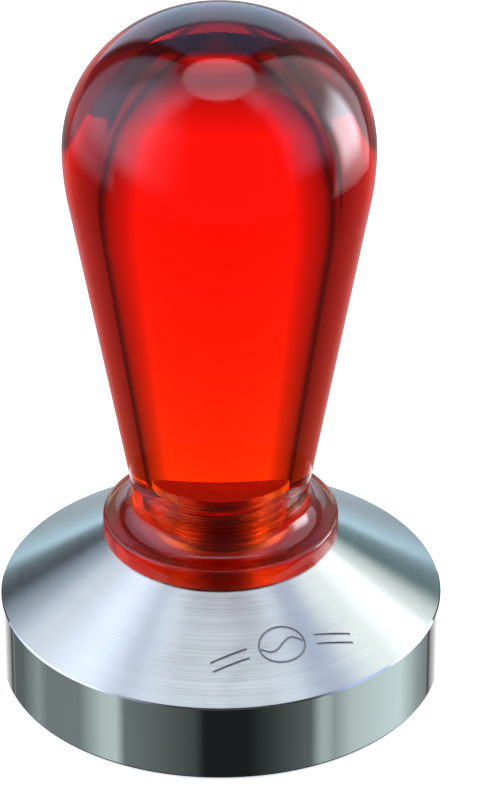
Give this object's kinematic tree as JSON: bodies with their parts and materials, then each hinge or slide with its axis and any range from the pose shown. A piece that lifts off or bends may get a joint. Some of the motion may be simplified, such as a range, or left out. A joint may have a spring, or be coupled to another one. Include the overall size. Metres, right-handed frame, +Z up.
{
  "type": "espresso tamper",
  "caption": "Hand tamper with a round flat steel base, a conical shoulder and a flared, round-headed clear red handle that unscrews from a threaded stud.",
  "frame": {"origin": "centre of the flat tamping face, on the axis", "axes": "+Z up the axis from the tamping face to the top of the handle; +X and +Y lie in the tamping face"},
  "size_m": [0.058, 0.058, 0.0938],
  "materials": {
    "base_steel": "fine turned cone, polished wall",
    "stud_steel": "plain machined",
    "ring_rubber": "matte",
    "handle_acrylic": "polished, clear, tinted red through its whole depth"
  },
  "bodies": {
    "base": {"tamping_base": "base_steel", "threaded_stud": "stud_steel"},
    "ring": {"sealing_ring": "ring_rubber"},
    "handle": {"handle": "handle_acrylic"}
  },
  "joints": [
    {"name": "handle_rise", "type": "slide", "parent": "base", "child": "ring", "axis": [0, 0, 1], "range_m": [0, 0.00905]},
    {"name": "handle_unscrew", "type": "hinge", "parent": "ring", "child": "handle", "pos_m": [0, 0, 0.0198], "axis": [0, 0, 1], "range_deg": [0, 2160]}
  ],
  "couplings": [
    {"joint": "handle_rise", "follows": "handle_unscrew", "m_per_rad": 0.00023873}
  ]
}
